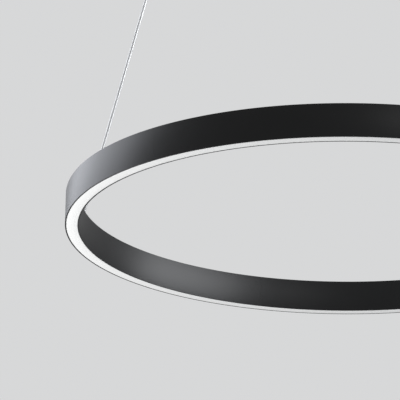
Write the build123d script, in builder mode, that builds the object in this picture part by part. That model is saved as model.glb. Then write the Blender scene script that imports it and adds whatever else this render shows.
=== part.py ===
"""LED ring chandelier: a hollow aluminium ring on three cables below a round ceiling canopy.

Millimetres, +Z up. The origin is the centre of the ceiling face, so everything hangs below z = 0.
The three cables lean inward from the ring to the canopy. The ring is made of three curved extrusions
joined end to end, and light leaves it downward through an opal strip.
"""

import os
from math import cos, radians, sin, tan

from build123d import *

os.makedirs("parts", exist_ok=True)

# Ring
ring_diameter = 1200
ring_height = 70
ring_width = 30
side_wall = 2
top_wall = 3
lip_width = 3
lip_height = 1.5
web_above_bottom = 26
web_thickness = 2
ring_sections = 3
slide_fit = 0.3

# Light source behind the opal strip
diffuser_thickness = 2
boards_per_section = 8
board_width = 14
board_thickness = 1.6
chips_per_board = 2
chip_size = 5
chip_height = 1.6
connector_length = 14
connector_width = 8
connector_height = 3

# Joints between the sections
splice_length = 80
splice_thickness = 6

# Cables and their fittings
cable_count = 3
first_cable_azimuth = 50
cable_radius = 3.25
cable_drop = 1462
cable_fit = 0.1
hole_fit = 0.2
exit_circle_radius = 205
bush_neck_radius = 10
bush_neck_length = 11
bush_flats = 26
bush_flange_height = 2
throat_radius = 3.6
mouth_radius = 10.2
grip_length = 24
grip_width = 18
grip_height = 10
tail_past_grip = 6

# Canopy
canopy_diameter = 500
canopy_height = 50
canopy_wall = 1.5
canopy_bevel = 4
plate_thickness = 2.5
plate_radius = 180
arm_inner_radius = 140
arm_width = 36
arm_thickness = 2.5
foot_length = 44
ceiling_screw_circle = 240
ceiling_screw_radius = 2.75
entry_hole_radius = 11

# Driver, terminals and leads inside the canopy
driver_y = 60
driver_base_length = 230
driver_base_thickness = 2
driver_case_length = 170
driver_width = 60
driver_height = 32
driver_chamfer = 3
driver_end_cap_length = 22
driver_end_cap_inset = 2
hook_width = 20
hook_reach = 4
terminal_y = -85
terminal_length = 46
terminal_width = 20
terminal_height = 16
terminal_ways = 3
terminal_pitch = 14
terminal_opening = 6
clamp_y = -40
clamp_length = 40
clamp_width = 12
clamp_base_height = 4
clamp_bar_height = 7
clamp_notch_width = 12
clamp_notch_depth = 3
earth_tag_x = -60
earth_tag_y = -40
earth_tag_width = 6.3
earth_tag_thickness = 0.8
earth_tag_height = 14
lead_width = 5
lead_thickness = 2.6
feed_run = 5

# Levels and radii that follow from the sizes above
ring_outer_radius = ring_diameter / 2
ring_inner_radius = ring_outer_radius - ring_width
ring_mid_radius = ring_outer_radius - ring_width / 2
section_angle = 360 / ring_sections
cable_azimuths = [first_cable_azimuth + i * 360 / cable_count for i in range(cable_count)]
joint_azimuths = [first_cable_azimuth + (i + 0.5) * section_angle for i in range(ring_sections)]
exit_face_z = -canopy_height
top_pivot_z = exit_face_z + bush_neck_length
end_pivot_z = top_pivot_z - cable_drop
ring_top_z = end_pivot_z + bush_neck_length
ring_bottom_z = ring_top_z - ring_height
web_bottom_z = ring_bottom_z + web_above_bottom
chamber_width = ring_width - 2 * side_wall
upper_chamber_height = ring_height - top_wall - web_above_bottom - web_thickness
lean = (ring_mid_radius - exit_circle_radius) / cable_drop
tail_end_z = top_pivot_z + grip_height + tail_past_grip
cable_end_z = end_pivot_z - grip_height - tail_past_grip / 2
canopy_radius = canopy_diameter / 2
plate_bottom_z = -plate_thickness
output_lead_z = tail_end_z + cable_radius * lean + slide_fit + lead_thickness / 2
input_lead_z = plate_bottom_z - terminal_height / 2
hook_x = driver_base_length / 2 + slide_fit


def upright_plane(azimuth, radius=0.0, height=0.0):
    """A plane that holds the vertical: its x points outward at that azimuth, its y points up."""
    outward = Vector(cos(radians(azimuth)), sin(radians(azimuth)), 0)
    origin = outward * radius + Vector(0, 0, height)
    return Plane(origin=origin, x_dir=outward, z_dir=(outward.Y, -outward.X, 0))


def cable_point(azimuth, height):
    """The point on a cable's centre line at a height, on the straight line through both pivots."""
    radius = exit_circle_radius + lean * (top_pivot_z - height)
    return Vector(radius * cos(radians(azimuth)), radius * sin(radians(azimuth)), height)


def cable_plane(azimuth, height):
    """The plane square to a cable at a height, facing down along it."""
    start = cable_point(azimuth, height)
    return Plane(origin=start, z_dir=cable_point(azimuth, height - 1) - start)


def cable_run(height_above, height_below):
    """The length of cable between two heights."""
    return (height_above - height_below) * (1 + lean**2) ** 0.5


def bend_radii(points):
    """A radius for each corner of a lead: 0.45 of the shorter run over the tangent of half the turn."""
    radii = []
    for before, here, after in zip(points, points[1:], points[2:]):
        arriving, leaving = here - before, after - here
        half_turn = radians(arriving.get_angle(leaving)) / 2
        radii.append(0.45 * min(arriving.length, leaving.length) / tan(half_turn))
    return radii


def save(piece, label):
    """Name a finished piece and write it as its own file."""
    piece.part.label = label
    export_step(piece.part, f"parts/{label}.step")


# Ring sections: one hollow aluminium extrusion, curved to the ring, with a closed upper chamber for the
# splices and cable stops, a web that carries the lights, and two lips that hold the opal strip.
for number, azimuth in enumerate(cable_azimuths, start=1):
    with BuildPart() as ring_section:
        with BuildSketch(upright_plane(azimuth - section_angle / 2, ring_mid_radius, ring_bottom_z)):
            with Locations((0, ring_height / 2)):
                Rectangle(ring_width, ring_height)
            with BuildLine():
                Polyline(
                    (-ring_width / 2 + lip_width, 0),
                    (-ring_width / 2 + lip_width, lip_height),
                    (-chamber_width / 2, lip_height),
                    (-chamber_width / 2, web_above_bottom),
                    (chamber_width / 2, web_above_bottom),
                    (chamber_width / 2, lip_height),
                    (ring_width / 2 - lip_width, lip_height),
                    (ring_width / 2 - lip_width, 0),
                    close=True,
                )
            make_face(mode=Mode.SUBTRACT)
            with Locations((0, ring_height - top_wall - upper_chamber_height / 2)):
                Rectangle(chamber_width, upper_chamber_height, mode=Mode.SUBTRACT)
        revolve(axis=Axis.Z, revolution_arc=section_angle)
        with BuildSketch(Plane.XY.offset(ring_top_z)):
            with PolarLocations(ring_mid_radius, 1, azimuth):
                Circle(bush_neck_radius + hole_fit)
        extrude(amount=-top_wall, mode=Mode.SUBTRACT)
        with BuildSketch(Plane.XY.offset(web_bottom_z)):
            with PolarLocations(ring_mid_radius, 1, azimuth):
                Rectangle(lead_thickness + 4 * slide_fit, lead_thickness + 4 * slide_fit)
        extrude(amount=web_thickness, mode=Mode.SUBTRACT)
    save(ring_section, f"ring_section_{number}")

# Opal strips: polycarbonate, curved like the ring and lying on its two lips.
for number, azimuth in enumerate(cable_azimuths, start=1):
    with BuildPart() as diffuser:
        with BuildSketch(upright_plane(azimuth - section_angle / 2, ring_mid_radius, ring_bottom_z)):
            with Locations((0, lip_height + diffuser_thickness / 2)):
                Rectangle(chamber_width - 2 * slide_fit, diffuser_thickness)
        revolve(axis=Axis.Z, revolution_arc=section_angle)
    save(diffuser, f"diffuser_{number}")

# LED boards: short straight circuit boards in a row under the web, with a gap for the feed lead between
# the two in the middle of each section, and square LED packages that face down.
board_angle = section_angle / boards_per_section
board_gap = lead_thickness + 2 * slide_fit
board_length = 2 * (ring_mid_radius - board_width / 2) * tan(radians(board_angle / 2)) - board_gap
chip_pitch = board_length / chips_per_board
for number, azimuth in enumerate(cable_azimuths, start=1):
    first_board_azimuth = azimuth - section_angle / 2 + board_angle / 2
    with BuildPart() as led_boards:
        with BuildSketch(Plane.XY.offset(web_bottom_z)):
            with PolarLocations(
                ring_mid_radius, boards_per_section, first_board_azimuth, section_angle
            ):
                Rectangle(board_width, board_length)
        extrude(amount=-board_thickness)
    save(led_boards, f"led_boards_{number}")

with BuildPart() as led_chips:
    with BuildSketch(Plane.XY.offset(web_bottom_z - board_thickness)):
        with PolarLocations(
            ring_mid_radius, ring_sections * boards_per_section, joint_azimuths[0] + board_angle / 2
        ):
            with GridLocations(chip_pitch, chip_pitch, 1, chips_per_board):
                Rectangle(chip_size, chip_size)
    extrude(amount=-chip_height)
save(led_chips, "led_chips")

# Board connectors: one under each joint between sections, bridging the two boards that meet there.
with BuildPart() as board_connectors:
    with BuildSketch(Plane.XY.offset(web_bottom_z - board_thickness)):
        with PolarLocations(ring_mid_radius, ring_sections, joint_azimuths[0]):
            Rectangle(connector_width, connector_length)
    extrude(amount=-connector_height)
save(board_connectors, "board_connectors")

# Splice bars: short straight steel bars, a driven fit in the curved upper chamber, that hold two sections
# end to end. Their ends touch the chamber's outer wall and their middle its inner wall.
splice_outer_reach = ((ring_outer_radius - side_wall - slide_fit) ** 2 - (splice_length / 2) ** 2) ** 0.5
splice_inner_reach = ring_inner_radius + side_wall + slide_fit
for number, azimuth in enumerate(joint_azimuths, start=1):
    with BuildPart() as splice_bar:
        with BuildSketch(Plane.XY.offset(ring_top_z - top_wall)):
            with PolarLocations((splice_outer_reach + splice_inner_reach) / 2, 1, azimuth):
                Rectangle(splice_outer_reach - splice_inner_reach, splice_length)
        extrude(amount=-splice_thickness)
    save(splice_bar, f"splice_bar_{number}")


def cable_bushes(radius, face_z, upward):
    """Hexagonal bushes whose necks go through a wall, with a throat at the neck's end that holds the
    cable and a mouth that flares towards the open side, so that the cable can lean more or less."""
    outside = 1 if upward else -1
    with BuildPart() as bushes:
        with BuildSketch(Plane.XY.offset(face_z)):
            with PolarLocations(radius, cable_count, first_cable_azimuth):
                RegularPolygon(bush_flats / 2, 6, major_radius=False)
        extrude(amount=outside * bush_flange_height)
        with BuildSketch(Plane.XY.offset(face_z)):
            with PolarLocations(radius, cable_count, first_cable_azimuth):
                Circle(bush_neck_radius)
        extrude(amount=-outside * bush_neck_length)
        for azimuth in cable_azimuths:
            bore_plane = upright_plane(azimuth, radius, face_z)
            with BuildSketch(bore_plane):
                with BuildLine():
                    Polyline(
                        (0, -outside * bush_neck_length),
                        (throat_radius, -outside * bush_neck_length),
                        (mouth_radius, outside * bush_flange_height),
                        (0, outside * bush_flange_height),
                        close=True,
                    )
                make_face()
            revolve(axis=Axis(bore_plane.origin, (0, 0, 1)), mode=Mode.SUBTRACT)
    return bushes


def cable_clamps(radius, start_z, end_z):
    """Clamp blocks that sit on the bushes' necks, bored through along the leaning cable."""
    with BuildPart() as clamps:
        with BuildSketch(Plane.XY.offset(min(start_z, end_z))):
            with PolarLocations(radius, cable_count, first_cable_azimuth):
                Rectangle(grip_width, grip_length)
        extrude(amount=abs(end_z - start_z))
        for azimuth in cable_azimuths:
            with BuildSketch(cable_plane(azimuth, max(start_z, end_z) + cable_radius)):
                Circle(cable_radius + cable_fit)
            extrude(amount=cable_run(abs(end_z - start_z) + 2 * cable_radius, 0), mode=Mode.SUBTRACT)
    return clamps


# Ring bushes: screwed into the ring's top wall, one over the middle of each section.
save(cable_bushes(ring_mid_radius, ring_top_z, upward=True), "ring_bushes")

# Cable stops: clamped on the cables' ends under the ring bushes, they carry the ring.
save(cable_clamps(ring_mid_radius, end_pivot_z - grip_height, end_pivot_z), "cable_stops")

# Cable exits: bushes through the canopy's floor, screwed into the feet of the cable arms.
save(cable_bushes(exit_circle_radius, exit_face_z, upward=False), "cable_exits")

# Cable grips: clamped on the cables above the exits, they set how far the ring hangs down.
save(cable_clamps(exit_circle_radius, top_pivot_z, top_pivot_z + grip_height), "cable_grips")

# Cables: three straight runs, each from its tail above the grip down to its end below the stop.
for number, azimuth in enumerate(cable_azimuths, start=1):
    with BuildPart() as cable:
        with BuildSketch(cable_plane(azimuth, tail_end_z)):
            Circle(cable_radius)
        extrude(amount=cable_run(tail_end_z, cable_end_z))
    save(cable, f"cable_{number}")

# Feed lead: a flat twin lead from the end of the middle cable, through the web, to the LED boards.
feed_azimuth = cable_azimuths[1]
feed_foot = upright_plane(feed_azimuth, ring_mid_radius, web_bottom_z).origin
feed_points = [
    cable_point(feed_azimuth, cable_end_z),
    cable_point(feed_azimuth, cable_end_z - feed_run),
    feed_foot + Vector(0, 0, web_thickness + feed_run),
    feed_foot - Vector(0, 0, board_thickness),
]
feed_start = Plane(
    origin=feed_points[0],
    x_dir=upright_plane(feed_azimuth).z_dir,
    z_dir=feed_points[1] - feed_points[0],
)
with BuildPart() as feed_lead:
    with BuildLine():
        FilletPolyline(*feed_points, radius=bend_radii(feed_points))
    with BuildSketch(feed_start):
        Rectangle(lead_thickness, lead_thickness)
    sweep()
save(feed_lead, "feed_lead")

# Canopy cover: a spun steel pan that closes the canopy from below, with a hole for each cable exit.
with BuildPart() as canopy_cover:
    with BuildSketch(upright_plane(0)):
        with BuildLine():
            Polyline(
                (0, -canopy_height),
                (canopy_radius - canopy_bevel, -canopy_height),
                (canopy_radius, -canopy_height + canopy_bevel),
                (canopy_radius, 0),
                (canopy_radius - canopy_wall, 0),
                (canopy_radius - canopy_wall, -canopy_height + canopy_bevel),
                (canopy_radius - canopy_bevel, -canopy_height + canopy_wall),
                (0, -canopy_height + canopy_wall),
                close=True,
            )
        make_face()
    revolve(axis=Axis.Z)
    with BuildSketch(Plane.XY.offset(-canopy_height)):
        with PolarLocations(exit_circle_radius, cable_count, first_cable_azimuth):
            Circle(bush_neck_radius + hole_fit)
    extrude(amount=canopy_wall, mode=Mode.SUBTRACT)
save(canopy_cover, "canopy_cover")

# Ceiling plate: a steel hexagon screwed to the ceiling midway between the cable arms, with the mains entry
# in its middle and two hooks that hold the driver's base.
with BuildPart() as ceiling_plate:
    with BuildSketch(Plane.XY):
        RegularPolygon(plate_radius, 6)
        Circle(entry_hole_radius, mode=Mode.SUBTRACT)
        with PolarLocations(ceiling_screw_circle / 2, cable_count, joint_azimuths[0]):
            Circle(ceiling_screw_radius, mode=Mode.SUBTRACT)
    extrude(amount=-plate_thickness)
    for side in (-1, 1):
        hook_foot = (side * hook_x, driver_y, plate_bottom_z)
        hook_drop = driver_base_thickness + slide_fit
        with BuildSketch(Plane(origin=hook_foot, x_dir=(side, 0, 0), z_dir=(0, -side, 0))):
            with BuildLine():
                Polyline(
                    (0, 0),
                    (0, -hook_drop),
                    (-hook_reach, -hook_drop),
                    (-hook_reach, -hook_drop - plate_thickness),
                    (plate_thickness, -hook_drop - plate_thickness),
                    (plate_thickness, 0),
                    close=True,
                )
            make_face()
        extrude(amount=hook_width / 2, both=True)
save(ceiling_plate, "ceiling_plate")

# Cable arms: folded steel straps welded under the plate. Their feet lie on the cover's floor, where the
# cable exits clamp the cover, so the ring's weight goes past the cover to the plate.
leg_radius = exit_circle_radius - foot_length / 2
foot_bottom_z = -canopy_height + canopy_wall
with BuildPart() as cable_arms:
    for azimuth in cable_azimuths:
        with BuildSketch(upright_plane(azimuth)):
            with BuildLine():
                Polyline(
                    (arm_inner_radius, plate_bottom_z),
                    (leg_radius, plate_bottom_z),
                    (leg_radius, foot_bottom_z + arm_thickness),
                    (leg_radius + foot_length, foot_bottom_z + arm_thickness),
                    (leg_radius + foot_length, foot_bottom_z),
                    (leg_radius - arm_thickness, foot_bottom_z),
                    (leg_radius - arm_thickness, plate_bottom_z - arm_thickness),
                    (arm_inner_radius, plate_bottom_z - arm_thickness),
                    close=True,
                )
            make_face()
        extrude(amount=arm_width / 2, both=True)
    with BuildSketch(Plane.XY.offset(foot_bottom_z)):
        with PolarLocations(exit_circle_radius, cable_count, first_cable_azimuth):
            Circle(bush_neck_radius + hole_fit)
    extrude(amount=arm_thickness, mode=Mode.SUBTRACT)
save(cable_arms, "cable_arms")

# Driver: a closed moulded case on a flat base whose ends slide under the plate's hooks.
with BuildPart() as driver_case:
    with BuildSketch(Plane.XY.offset(plate_bottom_z)):
        with Locations((0, driver_y)):
            Rectangle(driver_base_length, driver_width)
    extrude(amount=-driver_base_thickness)
    with BuildSketch(Plane.XY.offset(plate_bottom_z - driver_base_thickness)):
        with Locations((0, driver_y)):
            Rectangle(driver_case_length, driver_width)
    extrude(amount=-(driver_height - driver_base_thickness))
    chamfer(driver_case.faces().sort_by(Axis.Z)[0].edges(), driver_chamfer)
save(driver_case, "driver_case")

# Driver end caps: they cover the connections at both ends of the driver.
with BuildPart() as driver_end_caps:
    cap_height = driver_height - driver_base_thickness - driver_end_cap_inset
    cap_middle_x = (driver_case_length + driver_end_cap_length) / 2
    with BuildSketch(Plane.XY.offset(plate_bottom_z - driver_base_thickness)):
        with Locations((-cap_middle_x, driver_y), (cap_middle_x, driver_y)):
            Rectangle(driver_end_cap_length, driver_width - 2 * driver_end_cap_inset)
    extrude(amount=-cap_height)
    chamfer(driver_end_caps.faces().group_by(Axis.Z)[0].edges(), driver_chamfer)
save(driver_end_caps, "driver_end_caps")

# Terminal block: three ways, each with a square opening right through and a well for its screw.
terminal_xs = [(i - (terminal_ways - 1) / 2) * terminal_pitch for i in range(terminal_ways)]
with BuildPart() as terminal_block:
    with BuildSketch(Plane.XY.offset(plate_bottom_z)):
        with Locations((0, terminal_y)):
            Rectangle(terminal_length, terminal_width)
    extrude(amount=-terminal_height)
    with BuildSketch(Plane.XZ.offset(-terminal_y - terminal_width / 2)):
        with Locations(*[(x, plate_bottom_z - terminal_height / 2) for x in terminal_xs]):
            Rectangle(terminal_opening, terminal_opening)
    extrude(amount=terminal_width, mode=Mode.SUBTRACT)
    with BuildSketch(Plane.XY.offset(plate_bottom_z - terminal_height)):
        with Locations(*[(x, terminal_y) for x in terminal_xs]):
            Rectangle(terminal_opening, terminal_opening)
    extrude(amount=terminal_height / 2, mode=Mode.SUBTRACT)
save(terminal_block, "terminal_block")

# Cord clamp: a base and a bar with facing notches that hold the mains cord beside its entry.
clamp_parting_z = plate_bottom_z - clamp_base_height
for label, top_z, height, notch_z, notch_turn in (
    ("cord_clamp_base", plate_bottom_z, clamp_base_height, clamp_parting_z, 1),
    ("cord_clamp_bar", clamp_parting_z - slide_fit, clamp_bar_height, clamp_parting_z - slide_fit, -1),
):
    with BuildPart() as clamp_piece:
        with BuildSketch(Plane.XZ.offset(-clamp_y - clamp_width / 2)):
            with Locations((0, top_z - height / 2)):
                Rectangle(clamp_length, height)
            with BuildLine():
                Polyline(
                    (-clamp_notch_width / 2, notch_z),
                    (0, notch_z + notch_turn * clamp_notch_depth),
                    (clamp_notch_width / 2, notch_z),
                    close=True,
                )
            make_face(mode=Mode.SUBTRACT)
        extrude(amount=clamp_width)
    save(clamp_piece, label)

# Earth tag: a flat blade that stands down from the plate for the earth wire's push-on receptacle.
with BuildPart() as earth_tag:
    with BuildSketch(Plane.XY.offset(plate_bottom_z)):
        with Locations((earth_tag_x, earth_tag_y)):
            Rectangle(earth_tag_width, earth_tag_thickness)
    extrude(amount=-earth_tag_height)
    with BuildSketch(Plane.XY.offset(plate_bottom_z)):
        with Locations((earth_tag_x, earth_tag_y + earth_tag_width / 2)):
            Rectangle(earth_tag_width, earth_tag_width)
    extrude(amount=-earth_tag_thickness)
save(earth_tag, "earth_tag")

# Output lead: a flat twin lead from the driver to the tail of the cable that feeds the ring.
cap_end_x = driver_case_length / 2 + driver_end_cap_length
tail_end = cable_point(feed_azimuth, tail_end_z)
output_points = [
    Vector(-cap_end_x, driver_y, output_lead_z),
    Vector(-140, driver_y, output_lead_z),
    Vector(-182, 67, output_lead_z),
    Vector(-198, 56, output_lead_z),
    Vector(tail_end.X, tail_end.Y, output_lead_z),
]

# Input lead: a flat twin lead from the terminal block round to the driver's other end.
input_points = [
    Vector(cap_end_x, driver_y, input_lead_z),
    Vector(140, driver_y, input_lead_z),
    Vector(140, -60, input_lead_z),
    Vector(50, -122, input_lead_z),
    Vector(0, -122, input_lead_z),
    Vector(0, terminal_y - terminal_width / 2, input_lead_z),
]
for label, points in (("output_lead", output_points), ("input_lead", input_points)):
    with BuildPart() as lead:
        with BuildLine():
            FilletPolyline(*points, radius=bend_radii(points))
        with BuildSketch(Plane(origin=points[0], x_dir=(0, 0, 1), z_dir=points[1] - points[0])):
            Rectangle(lead_thickness, lead_width)
        sweep()
    save(lead, label)
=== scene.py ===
"""The looks of a ring pendant light: a black ring on three leaning cables under a round ceiling canopy.

Metres, +Z up, with the origin at the middle of the ceiling face. The sections follow the light as it is
put together, from the ceiling plate down to the opal strips, and end with the room, lamps and camera.
"""

from math import cos, pi, radians, sin

import bmesh
import bpy
from mathutils import Matrix, Vector


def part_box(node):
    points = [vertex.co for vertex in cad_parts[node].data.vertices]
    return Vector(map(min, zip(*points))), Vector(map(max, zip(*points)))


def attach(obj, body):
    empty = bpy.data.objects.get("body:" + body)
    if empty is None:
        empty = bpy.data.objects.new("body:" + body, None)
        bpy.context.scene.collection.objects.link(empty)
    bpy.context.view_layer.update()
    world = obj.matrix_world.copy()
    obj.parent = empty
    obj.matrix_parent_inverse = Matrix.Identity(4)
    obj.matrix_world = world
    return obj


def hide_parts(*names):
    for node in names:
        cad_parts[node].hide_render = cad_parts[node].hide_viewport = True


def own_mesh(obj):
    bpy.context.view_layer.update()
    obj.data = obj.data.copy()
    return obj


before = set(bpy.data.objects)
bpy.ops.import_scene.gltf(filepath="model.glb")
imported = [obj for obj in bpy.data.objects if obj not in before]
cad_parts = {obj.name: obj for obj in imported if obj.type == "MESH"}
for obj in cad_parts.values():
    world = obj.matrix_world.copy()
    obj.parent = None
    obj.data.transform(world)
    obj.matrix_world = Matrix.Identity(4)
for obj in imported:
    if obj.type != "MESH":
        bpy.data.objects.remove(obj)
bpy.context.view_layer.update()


# Ceiling plate and cable arms: strip steel 2.5 mm thick, folded, zinc-plated and spot-welded, the arms
# under the plate. Zinc shows as a soft grey metal with a faint spangle and an uneven sheen.
class Wire:
    """One output in a material's node tree. Arithmetic on it adds Math nodes."""

    def __init__(self, tree, socket=None):
        self.tree, self.socket = tree, socket

    def node(self, kind, settings=None, inputs=None, output=0):
        """Add a node and return one of its outputs. Inputs and the output go by number or by name."""
        made = self.tree.nodes.new("ShaderNode" + kind)
        for name, value in (settings or {}).items():
            setattr(made, name, value)
        for name, value in (inputs or {}).items():
            if isinstance(value, Wire):
                self.tree.links.new(value.socket, made.inputs[name])
            else:
                made.inputs[name].default_value = value
        return Wire(self.tree, made.outputs[output])

    def maths(self, operation, *others):
        """What a Math node makes of this value and the others."""
        return self.node("Math", {"operation": operation}, dict(enumerate((self, *others))))

    def __add__(self, other):
        return self.maths("ADD", other)

    def __sub__(self, other):
        return self.maths("SUBTRACT", other)

    def __rsub__(self, other):
        return self * -1 + other

    def __mul__(self, other):
        return self.maths("MULTIPLY", other)

    def __pow__(self, other):
        return self.maths("POWER", other)

    __radd__, __rmul__ = __add__, __mul__

    def tint(self, low, high):
        """The colour between two others that this value picks. The Mix node's sockets go by number, because
        those of its other kinds have the same names."""
        return self.node("Mix", {"data_type": "RGBA"}, {0: self, 6: (*low, 1), 7: (*high, 1)}, 2)


def mottle(point, size, detail=2.0):
    """Soft irregular patches about that large, in metres."""
    return point.node("TexNoise", None, {"Vector": point, "Scale": 1 / size, "Detail": detail})


def finish(name, base, rough, metal=0.0, grain=None, depth=0.0, **surface):
    """A material. base and rough are values, or functions of the point on the piece; grain is such a
    function for the height that roughens the surface, and depth is how far that goes, in metres."""
    made = bpy.data.materials.new(name)
    made.use_nodes = True
    shader = made.node_tree.nodes["Principled BSDF"]
    point = Wire(made.node_tree).node("TexCoord", output="Object")
    sockets = {"Base Color": base, "Roughness": rough, "Metallic": metal}
    sockets |= {words.replace("_", " "): value for words, value in surface.items()}
    if grain:
        sockets["Normal"] = point.node("Bump", None, {"Distance": depth, "Height": grain(point)})
    for socket, value in sockets.items():
        value = value(point) if callable(value) else value
        if isinstance(value, Wire):
            made.node_tree.links.new(value.socket, shader.inputs[socket])
        else:
            shader.inputs[socket].default_value = value
    return made


def dress(material, *nodes):
    """Give CAD nodes their material."""
    for name in nodes:
        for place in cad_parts[name].material_slots:
            place.material = material


zinc = finish(
    "zinc_plated_steel",
    lambda p: mottle(p, 0.012).tint((0.42, 0.43, 0.44), (0.68, 0.69, 0.69)),
    lambda p: 0.26 + 0.22 * mottle(p, 0.02),
    metal=1.0,
    grain=lambda p: mottle(p, 0.002),
    depth=0.0002,
)
dress(zinc, "ceiling_plate", "cable_arms")


# Ceiling screws: three zinc-plated button heads with hexagon sockets, on washers, driven up through the
# plate midway between the cable arms.
def levels(node):
    """How high a CAD node's lowest and highest points are, to a hundredth of a millimetre."""
    return [round(corner.z, 5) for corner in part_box(node)]


def polar(azimuth, out, height=0.0):
    """The point that far out from the upright line through the light's middle."""
    return Vector((out * cos(azimuth), out * sin(azimuth), height))


def loop(centre, out, height, sides=0, turn=0.0, count=48):
    """Points round a circle, or round a polygon of that many sides whose flats are that far out."""
    points = []
    for i in range(count):
        angle = 2 * pi * i / count
        reach = out / cos(angle % (2 * pi / sides) - pi / sides) if sides else out
        points.append(Vector((centre.x, centre.y, height)) + polar(angle + turn, reach))
    return points


def loft(bm, loops, wrap=False, caps=False):
    """A skin over loops that hold the same number of points."""
    rows = [[bm.verts.new(point) for point in points] for points in loops]
    for row, following in zip(rows, rows[1:] + rows[:1] if wrap else rows[1:]):
        for i in range(len(row)):
            j = (i + 1) % len(row)
            bm.faces.new((row[i], row[j], following[j], following[i]))
    if caps:
        bm.faces.new(rows[0])
        bm.faces.new(rows[-1])
    return rows


def placed(name, bm):
    """An object in the scene that shows the mesh."""
    made = bpy.data.objects.new(name, bpy.data.meshes.new(name))
    bm.to_mesh(made.data)
    bpy.context.scene.collection.objects.link(made)
    return made


def drilled(made, holes):
    """The mesh of an object once the holes are cut out of it."""
    bmesh.ops.recalc_face_normals(holes, faces=holes.faces)
    drill = placed("drill", holes)
    cut = made.modifiers.new("cut", "BOOLEAN")
    cut.object, cut.solver = drill, "EXACT"
    graph = bpy.context.evaluated_depsgraph_get()
    mesh = bpy.data.meshes.new_from_object(made.evaluated_get(graph))
    made.modifiers.clear()
    bpy.data.objects.remove(drill)
    return mesh


def piece(name, bm, material, body, stands_for=(), holes=None, crease=32):
    """Make a finished piece of the mesh, with its holes cut, that moves with a body and stands for those
    CAD nodes. Edges that bend more than crease, in degrees, stay sharp, and the rest are smooth."""
    bmesh.ops.recalc_face_normals(bm, faces=bm.faces)
    made = placed(name, bm)
    if holes:
        made.data = drilled(made, holes)
    bm = bmesh.new()
    bm.from_mesh(made.data)
    for face in bm.faces:
        face.smooth = True
    for edge in bm.edges:
        edge.smooth = edge.calc_face_angle(0) < radians(crease)
    bm.to_mesh(made.data)
    made.data.materials.clear()
    made.data.materials.append(material)
    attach(made, body)
    if stands_for:
        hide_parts(*stands_for)
    return made


def screws(bm, places, head, rise, way, shaft=0.0):
    """Button heads with hexagon sockets that point way, up or down, from each place. head is their radius,
    rise their height, and shaft the length that shows below the head."""
    button = (  # share of the radius, share of the height, sides
        (0.5, 0, 0), (1, 0, 0), (1, 0.3, 0), (0.93, 0.66, 0), (0.76, 0.92, 0), (0.56, 1, 0),
        (0.42, 0.96, 6), (0.42, 0.35, 6),
    )
    profile = [(head * 0.5, -shaft, 0)]
    profile += [(head * out, rise * height, sides) for out, height, sides in button]
    for place in places:
        loft(bm, [
            loop(place, out, place.z + way * height, sides, count=24) for out, height, sides in profile
        ], caps=True)


up, down = 1, -1
upright = Vector((0, 0, 1))
cable_azimuths = [radians(50 + 120 * i) for i in range(3)]
midway_azimuths = [radians(110 + 120 * i) for i in range(3)]
plate_below = levels("cable_arms")[1]
ceiling_screw_circle = 0.12
washer_bore, washer_edge, washer_depth = 0.0028, 0.0069, 0.0012
bm = bmesh.new()
places = [polar(azimuth, ceiling_screw_circle, plate_below) for azimuth in midway_azimuths]
for place in places:
    loft(bm, [
        loop(place, washer_bore, place.z), loop(place, washer_edge, place.z),
        loop(place, washer_edge, place.z - washer_depth), loop(place, washer_bore, place.z - washer_depth),
    ], wrap=True)
under_washers = [place - upright * washer_depth for place in places]
screws(bm, under_washers, head=0.0048, rise=0.003, way=down, shaft=0.0036)
piece("ceiling_screws", bm, zinc, "canopy", crease=25)


# Terminal block: cream polyamide with three tinned brass socket screws in its wells. The cord clamp beside
# the mains entry is moulded of the same plastic, and two screws pull its bar up. The earth tag is brass.
plastic = finish(
    "cream_polyamide",
    lambda p: mottle(p, 0.01).tint((0.66, 0.64, 0.58), (0.72, 0.70, 0.64)),
    lambda p: 0.42 + 0.12 * mottle(p, 0.003),
    grain=lambda p: mottle(p, 0.0006, detail=1),
    depth=0.00008,
)
brass = finish(
    "tinned_brass",
    lambda p: mottle(p, 0.004).tint((0.60, 0.55, 0.42), (0.74, 0.71, 0.62)),
    lambda p: 0.24 + 0.16 * mottle(p, 0.002),
    metal=1.0,
    grain=lambda p: mottle(p, 0.0008),
    depth=0.00004,
)
dress(plastic, "terminal_block", "cord_clamp_base", "cord_clamp_bar")
dress(brass, "earth_tag")
terminal_row, terminal_pitch, well_floor = -0.085, 0.014, -0.0132
bm = bmesh.new()
places = [Vector((x, terminal_row, well_floor)) for x in (-terminal_pitch, 0, terminal_pitch)]
screws(bm, places, head=0.0026, rise=0.0016, way=down)
piece("terminal_screws", bm, brass, "canopy", crease=25)
clamp_row, clamp_screw_reach, clamp_below = -0.04, 0.0135, levels("cord_clamp_bar")[0]
bm = bmesh.new()
places = [Vector((x, clamp_row, clamp_below)) for x in (-clamp_screw_reach, clamp_screw_reach)]
screws(bm, places, head=0.0032, rise=0.0022, way=down)
piece("cord_clamp_screws", bm, zinc, "canopy", crease=25)


# Driver: a white polycarbonate case with a moulded grain on its flat base, held by the plate's hooks, and
# a cap over the connections at each end.
driver_white = finish(
    "white_polycarbonate",
    lambda p: mottle(p, 0.03).tint((0.74, 0.74, 0.73), (0.80, 0.80, 0.79)),
    lambda p: 0.46 + 0.1 * mottle(p, 0.004),
    grain=lambda p: mottle(p, 0.0009, detail=1),
    depth=0.0001,
)
dress(driver_white, "driver_case", "driver_end_caps")


# Leads inside the light: soft flat twin leads, two round cores side by side in white PVC. One runs from
# the terminals to the driver, one from the driver to the cable that feeds the ring.
lead_sheath = finish(
    "white_pvc_lead",
    lambda p: mottle(p, 0.008).tint((0.70, 0.70, 0.68), (0.78, 0.78, 0.76)),
    lambda p: 0.34 + 0.14 * mottle(p, 0.003),
    grain=lambda p: mottle(p, 0.0015),
    depth=0.00008,
)


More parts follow.
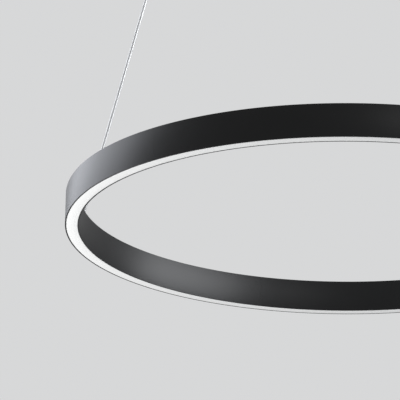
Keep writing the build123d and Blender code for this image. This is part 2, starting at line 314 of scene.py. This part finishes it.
def eased(points):
    """The smooth line that a lead takes along its route."""
    curve = bpy.data.curves.new("route", "CURVE")
    curve.dimensions, curve.resolution_u = "3D", 16
    spline = curve.splines.new("NURBS")
    spline.points.add(len(points) - 1)
    for place, point in zip(spline.points, points):
        place.co = (*point, 1)
    spline.order_u, spline.use_endpoint_u = 3, True
    line = bpy.data.meshes.new_from_object(bpy.data.objects.new("route", curve))
    return [vertex.co.copy() for vertex in line.vertices]


def sheathed(bm, path, across, section):
    """A lead of that section along a flat path. across is square to the path's plane."""
    before, after = [path[0]] + path[:-1], path[1:] + [path[-1]]
    loops = []
    for here, last, following in zip(path, before, after):
        side = (following - last).cross(across).normalized()
        loops.append([here + side * u + across * v for u, v in section])
    loft(bm, loops, caps=True)


core_radius, core_offset = 0.0013, 0.0012
twin = [  # the outline round both cores
    (way * (core_offset + core_radius * sin(angle)), core_radius * way * cos(angle))
    for way in (1, -1)
    for angle in [radians(degrees) for degrees in range(-40, 221, 20)]
]
output_level, input_level = -0.0205, -0.0105
routes = {
    "output_lead": (output_level, [
        (-0.107, 0.06), (-0.14, 0.06), (-0.182, 0.067), (-0.198, 0.056), (-0.1978, 0.0349),
    ]),
    "input_lead": (input_level, [
        (0.107, 0.06), (0.14, 0.06), (0.14, -0.06), (0.05, -0.122), (0, -0.122), (0, -0.095),
    ]),
}
for name, (level, points) in routes.items():
    bm = bmesh.new()
    sheathed(bm, eased([(x, y, level) for x, y in points]), upright, twin)
    piece(name + "_flex", bm, lead_sheath, "canopy", [name])


# Canopy cover: a pan spun from 1.5 mm steel, with a turned edge and fine rings from the spinning, powder
# coated in satin black. Three holes take the cable exits, which clamp it to the arms.
def axes(point):
    """A point's x, y and z, each as a value of its own."""
    return [point.node("SeparateXYZ", None, {0: point}, axis) for axis in "XYZ"]


def out_from_middle(point):
    """How far a point lies from the upright line through the light's middle."""
    x, y, z = axes(point)
    return (x * x + y * y) ** 0.5


def spin_marks(p):
    """Rings that the spinning tool leaves, with a little grit in the paint."""
    rings = p.node("CombineXYZ", None, {0: out_from_middle(p), 1: axes(p)[2], 2: 0.0})
    return mottle(rings, 0.0022, detail=1) + mottle(p, 0.0012)


def rounded(corners, steps=4):
    """The outline through corners (x, y, radius), each rounded to its radius."""
    outline = []
    for i, (x, y, radius) in enumerate(corners):
        here = Vector((x, y))
        back = (Vector(corners[i - 1][:2]) - here).normalized()
        ahead = (Vector(corners[(i + 1) % len(corners)][:2]) - here).normalized()
        if not radius:
            outline.append(here)
            continue
        half_angle = back.angle(ahead) / 2
        centre = here + (back + ahead).normalized() * (radius / sin(half_angle))
        cut_back = radius * cos(half_angle) / sin(half_angle)
        start, end = ((here + way * cut_back - centre).normalized() for way in (back, ahead))
        outline += [centre + start.slerp(end, t / steps) * radius for t in range(steps + 1)]
    return outline


def bore(holes, centre, level, radius=0.0102):
    """A hole for a bush, through what stands at that level."""
    past = 0.01
    loft(holes, [loop(centre, radius, z) for z in (level - past, level + past)], caps=True)


powder = finish(
    "satin_black_powder_coat",
    lambda p: mottle(p, 0.02).tint((0.010, 0.010, 0.011), (0.016, 0.016, 0.017)),
    lambda p: 0.40 + 0.08 * mottle(p, 0.006),
    grain=spin_marks,
    depth=0.00006,
)
canopy_floor = levels("canopy_cover")[0]
canopy_radius, pan_wall, pan_rim, pan_middle = 0.25, 0.0015, -0.0004, 0.01
inside, floor_top = canopy_radius - pan_wall, canopy_floor + pan_wall
pan = rounded([
    (pan_middle, canopy_floor, 0), (canopy_radius, canopy_floor, 0.005), (canopy_radius, pan_rim, 0.0006),
    (inside, pan_rim, 0.0006), (inside, floor_top, 0.0035), (pan_middle, floor_top, 0),
])
middle = Vector((0, 0, 0))
exit_circle = 0.205
bm, holes = bmesh.new(), bmesh.new()
loft(bm, [loop(middle, p.x, p.y, count=144) for p in pan], caps=True)
for azimuth in cable_azimuths:
    bore(holes, polar(azimuth, exit_circle), canopy_floor)
piece("canopy_pan", bm, powder, "canopy", ["canopy_cover"], holes)


# Cable exits and ring bushes: turned hexagonal bushes in satin black, screwed in from outside. Their mouths
# flare, so that a cable can lean more or less without bending over an edge.
bush_black = finish(
    "satin_black_fitting",
    lambda p: mottle(p, 0.004).tint((0.012, 0.012, 0.013), (0.019, 0.019, 0.020)),
    lambda p: 0.30 + 0.1 * mottle(p, 0.002),
    grain=lambda p: mottle(p, 0.0005),
    depth=0.00003,
)


def bushes(name, out, face, way, body, stands_for):
    """A bush for each cable, with its neck in the face at that level and its flange outside, up or down."""
    profile = (  # radius, height out of the face, sides
        (0.0036, -0.011, 0), (0.00995, 0.0015, 0), (0.0104, 0.0019, 0), (0.0108, 0.002, 0),
        (0.0123, 0.002, 0), (0.013, 0.0013, 6), (0.013, 0, 6), (0.01, 0, 0), (0.01, -0.0104, 0),
        (0.0094, -0.011, 0),
    )
    bm = bmesh.new()
    for azimuth in cable_azimuths:
        centre = polar(azimuth, out)
        loft(bm, [
            loop(centre, radius, face + way * height, sides, azimuth) for radius, height, sides in profile
        ], wrap=True)
    piece(name, bm, bush_black, body, [stands_for], crease=20)


ring_bottom, ring_top = levels("ring_section_1")
ring_middle = 0.585
bushes("canopy_exit_bushes", exit_circle, canopy_floor, down, "canopy", "cable_exits")
bushes("ring_top_bushes", ring_middle, ring_top, up, "ring", "ring_bushes")


# Grips and stops: nickel-plated steel blocks clamped on the cables, the grips above the exits and the
# stops under the ring bushes. They carry the ring. Easing a grip's two screws sets the cable's length.
nickel = finish(
    "nickel_plated_steel",
    lambda p: mottle(p, 0.005).tint((0.52, 0.50, 0.47), (0.66, 0.64, 0.60)),
    lambda p: 0.2 + 0.14 * mottle(p, 0.003),
    metal=1.0,
    grain=lambda p: mottle(p, 0.001),
    depth=0.00005,
)
dress(nickel, "cable_grips", "cable_stops")
grip_top, grip_screw_reach = levels("cable_grips")[1], 0.0082
places = [
    polar(azimuth, exit_circle, grip_top) + polar(azimuth + pi / 2, side)
    for azimuth in cable_azimuths
    for side in (-grip_screw_reach, grip_screw_reach)
]
bm = bmesh.new()
screws(bm, places, head=0.0024, rise=0.0018, way=up)
piece("grip_screws", bm, nickel, "canopy", crease=25)


# Cables: a steel strand and two cores in one round sheath of pearly silver-grey plastic, drawn straight by
# the ring's weight. Each hangs from a grip in the canopy, and its ends go on through the grip and the stop.
sheath = finish(
    "silver_grey_sheath",
    lambda p: mottle(p, 0.006).tint((0.52, 0.522, 0.526), (0.60, 0.602, 0.606)),
    lambda p: 0.26 + 0.08 * mottle(p, 0.004),
    metal=0.3,
    grain=lambda p: mottle(p, 0.0012),
    depth=0.00006,
    Specular_IOR_Level=0.8,
)


def disc(radius, count=24):
    """A round section."""
    return [(radius * cos(2 * pi * i / count), radius * sin(2 * pi * i / count)) for i in range(count)]


cable_radius, end_run = 0.00325, 0.04
tail_length, foot_gap, foot_reach = 0.0165, 0.0008, 0.0134
top_pivot, end_pivot = levels("cable_exits")[1], levels("cable_stops")[1]
for number, azimuth in enumerate(cable_azimuths, start=1):
    top, end = polar(azimuth, exit_circle, top_pivot), polar(azimuth, ring_middle, end_pivot)
    along = (end - top).normalized()
    across = polar(azimuth + pi / 2, 1)
    line = eased([top, top + along * end_run, end - along * end_run, end])
    bm = bmesh.new()
    sheathed(bm, line, across, disc(cable_radius))
    cable = piece(
        f"hanging_cable_{number}", bm, sheath, "canopy", [f"cable_{number}"], crease=60
    )
    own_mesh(cable)
    for name, start, stop, body in (
        (f"cable_tail_{number}", top, top - along * tail_length, "canopy"),
        (f"cable_foot_{number}", end + along * foot_gap, end + along * foot_reach, "ring"),
    ):
        bm = bmesh.new()
        sheathed(bm, [start, stop], across, disc(cable_radius))
        piece(name, bm, sheath, body, crease=60)


# Ring: three curved lengths of one hollow aluminium extrusion, butted end to end with hairline joints and
# anodised satin black. Fine lines from the die run round it, and narrow lips frame the light.
def die_lines(p):
    """Lines along the ring that change with the place in the section, and only slowly on the way round."""
    x, y, z = axes(p)
    lines = p.node("CombineXYZ", None, {0: x * 0.004, 1: out_from_middle(p), 2: z})
    return mottle(lines, 0.0011, detail=1) + mottle(p, 0.0008)


joint_gap = 0.00012
hairline = joint_gap / 2 / ring_middle  # half the gap, as an angle


def sweep(bm, section, azimuth, steps=90):
    """Carry a section (offset from the ring's middle line, height above its bottom) round a third of the
    ring, a hairline short of its joints. The steps shorten towards both ends, so that the sheen runs on
    across a joint."""
    start, end = azimuth - pi / 3 + hairline, azimuth + pi / 3 - hairline
    turns = [start + (end - start) * (1 - cos(pi * i / steps)) / 2 for i in range(steps + 1)]
    return loft(bm, [[polar(turn, ring_middle + u, ring_bottom + v) for u, v in section] for turn in turns])


def rim(row):
    """The edges between neighbours in a row of points."""
    return [
        edge
        for i, point in enumerate(row)
        for edge in point.link_edges
        if edge.other_vert(point) is row[i - 1]
    ]


anodised = finish(
    "satin_black_anodised_aluminium",
    lambda p: mottle(p, 0.05).tint((0.0045, 0.0047, 0.0052), (0.0065, 0.0067, 0.0072)),
    lambda p: 0.375 + 0.02 * mottle(p, 0.02),
    grain=die_lines,
    depth=0.000012,
    Specular_IOR_Level=0.35,
)
flank, lip, wall = 0.015, 0.012, 0.013  # out from the section's middle line
lip_top, web_below, web_above, chamber_top, section_top = 0.0015, 0.026, 0.028, 0.067, 0.07
outline = rounded([
    (-flank, 0, 0.0004), (-lip, 0, 0.0003), (-lip, lip_top, 0), (-wall, lip_top, 0), (-wall, web_below, 0),
    (wall, web_below, 0), (wall, lip_top, 0), (lip, lip_top, 0), (lip, 0, 0.0003), (flank, 0, 0.0004),
    (flank, section_top, 0.0008), (-flank, section_top, 0.0008),
], steps=3)
chamber = [(-wall, web_above), (wall, web_above), (wall, chamber_top), (-wall, chamber_top)]
for number, azimuth in enumerate(cable_azimuths, start=1):
    bm, holes = bmesh.new(), bmesh.new()
    skins = sweep(bm, outline, azimuth), sweep(bm, chamber, azimuth)
    for first_or_last in (0, -1):
        rims = [edge for rows in skins for edge in rim(rows[first_or_last])]
        bmesh.ops.triangle_fill(bm, edges=rims, use_beauty=True)
    bore(holes, polar(azimuth, ring_middle), ring_top)
    name = f"ring_extrusion_{number}"
    piece(name, bm, anodised, "ring", [f"ring_section_{number}"], holes)


# Splice screws: two small black button heads each side of every joint, driven down through the ring's top
# into the nickel-plated splice bars.
dress(nickel, "splice_bar_1", "splice_bar_2", "splice_bar_3")
near_screw, far_screw = radians(1.3), radians(2.9)
places = [
    polar(azimuth + turn, ring_middle, ring_top)
    for azimuth in midway_azimuths
    for turn in (-far_screw, -near_screw, near_screw, far_screw)
]
bm = bmesh.new()
screws(bm, places, head=0.0032, rise=0.0014, way=up)
piece("splice_screws", bm, bush_black, "ring", crease=25)


# LED boards: short white circuit boards under the web, with square packages whose phosphor looks yellow
# when off. Plugs join the boards across the joints, and a lead comes down through the web.
board_white = finish(
    "white_circuit_board",
    lambda p: (mottle(p, 0.003) ** 3 * 2).tint((0.78, 0.78, 0.76), (0.60, 0.58, 0.50)),
    lambda p: 0.35 + 0.1 * mottle(p, 0.002),
    grain=lambda p: mottle(p, 0.001),
    depth=0.00005,
)
phosphor = finish(
    "led_phosphor",
    lambda p: mottle(p, 0.002).tint((0.85, 0.68, 0.28), (0.90, 0.78, 0.42)),
    0.5,
    grain=lambda p: mottle(p, 0.0006),
    depth=0.00005,
    Emission_Color=(1, 0.96, 0.9, 1),
    Emission_Strength=1.5,
)
dress(board_white, "led_boards_1", "led_boards_2", "led_boards_3")
dress(phosphor, "led_chips")
dress(plastic, "board_connectors")
feed_azimuth = cable_azimuths[1]
descent = [(0.5884, -1.514), (0.5897, -1.519), (ring_middle, -1.527), (ring_middle, -1.5356)]
line = eased([polar(feed_azimuth, out, height) for out, height in descent])
bm = bmesh.new()
sheathed(bm, line, polar(feed_azimuth + pi / 2, 1), disc(core_radius))
piece("feed_lead_flex", bm, lead_sheath, "ring", ["feed_lead"], crease=60)


# Opal strips: extruded opal polycarbonate, curved to the ring and pressed in from below, so that each lies
# on the lips with its step flush between them. They glow evenly, a touch less towards the lips.
def glow(p):
    """Nought along the strip's middle and about one at its edges."""
    off = (out_from_middle(p) - ring_middle).maths("ABSOLUTE")
    return (off * 84) ** 3


opal = finish(
    "opal_polycarbonate",
    lambda p: mottle(p, 0.03).tint((0.70, 0.70, 0.69), (0.74, 0.74, 0.73)),
    lambda p: 0.38 + 0.06 * mottle(p, 0.01),
    grain=lambda p: mottle(p, 0.0008),
    depth=0.00003,
    Emission_Color=lambda p: glow(p).tint((1.0, 1.0, 0.995), (0.88, 0.885, 0.89)),
    Emission_Strength=0.22,
)
shoulder, flange, strip_face, strip_back = 0.0118, 0.0127, 0.0002, 0.0035
strip = rounded([
    (-shoulder, strip_face, 0.0003), (shoulder, strip_face, 0.0003), (shoulder, lip_top, 0),
    (flange, lip_top, 0), (flange, strip_back, 0.0003), (-flange, strip_back, 0.0003),
    (-flange, lip_top, 0), (-shoulder, lip_top, 0),
], steps=3)
for number, azimuth in enumerate(cable_azimuths, start=1):
    bm = bmesh.new()
    rows = sweep(bm, strip, azimuth)
    for row in (rows[0], rows[-1]):
        bm.faces.new(row)
    piece(f"opal_strip_{number}", bm, opal, "ring", [f"diffuser_{number}"])


# Room: a plain pale floor and a pale backdrop. Two large soft boxes stand above the ring's level, at the
# left behind it and at the right before it, and two small ones low at the left and high at the front.
pale = (0.68, 0.685, 0.69)


def seen(wire):
    """Which rays see the plain backdrop: those of the camera, and those off a gloss or through glass."""
    camera_ray, glossy, through = (
        wire.node("LightPath", output=f"Is {kind} Ray") for kind in ("Camera", "Glossy", "Transmission")
    )
    return camera_ray, glossy.maths("MAXIMUM", through)


floor_pale = finish("pale_floor", lambda p: mottle(p, 3.0).tint((0.62, 0.625, 0.63), pale), 0.7)
tree = floor_pale.node_tree
lit = Wire(tree, tree.nodes["Principled BSDF"].outputs[0])
direct, mirrored = seen(lit)
plain = lit.node("Emission", None, {"Color": (*pale, 1)})
shown = lit.node("MixShader", None, {0: direct * 0.75 + mirrored * 0.3, 1: lit, 2: plain})
from_below = direct * lit.node("NewGeometry", output="Backfacing")
shown = lit.node("MixShader", None, {0: from_below, 1: shown, 2: lit.node("BsdfTransparent")})
tree.links.new(shown.socket, tree.nodes["Material Output"].inputs[0])
floor_level, floor_reach = -4.6, 60
bm = bmesh.new()
bmesh.ops.create_grid(bm, x_segments=1, y_segments=1, size=floor_reach)
floor = placed("floor", bm)
floor.location.z = floor_level
floor.data.materials.append(floor_pale)

world = bpy.data.worlds.new("room")
bpy.context.scene.world = world
world.use_nodes = True
world.node_tree.nodes.clear()
air = Wire(world.node_tree)
direct, mirrored = seen(air)
soft, reflected, backdrop = (
    air.node("Background", None, {"Color": (*pale, 1), "Strength": strength})
    for strength in (0.56, 0.53, 1.0)
)
around = air.node("MixShader", None, {0: mirrored, 1: soft, 2: reflected})
around = air.node("MixShader", None, {0: direct, 1: around, 2: backdrop})
world_output = world.node_tree.nodes.new("ShaderNodeOutputWorld")
world.node_tree.links.new(around.socket, world_output.inputs[0])


def lamp(name, place, size, power, colour=(1, 1, 1)):
    """A soft box, width by height, that faces the ring."""
    made = bpy.data.objects.new(name, bpy.data.lights.new(name, "AREA"))
    made.data.shape = "RECTANGLE"
    made.data.size, made.data.size_y = size
    made.data.energy, made.data.color = power, colour
    ring_centre = Vector((0, 0, -1.5))
    facing = (ring_centre - Vector(place)).to_track_quat("-Z", "Y")
    made.matrix_world = Matrix.Translation(place) @ facing.to_matrix().to_4x4()
    made.visible_camera = False
    bpy.context.scene.collection.objects.link(made)


lamp("soft_box_left", (-2.92, 1.3, -0.3), (3.2, 2.2), power=77, colour=(0.90, 0.93, 1))
lamp("soft_box_right", (3.28, -0.48, -0.3), (3.5, 2.2), power=155, colour=(0.95, 0.97, 1))
lamp("soft_box_low", (-1.25, -0.13, -2.25), (0.8, 0.6), power=10.5)
lamp("soft_box_front", (2.4, -5.2, 0.6), (2.0, 1.5), power=14)


# Camera: low in front of the ring, looking up, with a long lens, as the photograph was taken.
stand = (0, -6.3639, -3.6683)
yaw, pitch, roll = radians(2.8146), radians(90 + 18.9022), radians(1.0345)
eye = bpy.data.cameras.new("camera")
eye.sensor_width, eye.lens = 36, 281.95
eye.clip_start, eye.clip_end = 0.1, 200
camera = bpy.data.objects.new("camera", eye)
camera.matrix_world = (
    Matrix.Translation(stand)
    @ Matrix.Rotation(yaw, 4, "Z")
    @ Matrix.Rotation(pitch, 4, "X")
    @ Matrix.Rotation(roll, 4, "Z")
)
bpy.context.scene.collection.objects.link(camera)
bpy.context.scene.camera = camera
bpy.context.scene.view_settings.view_transform = "Standard"
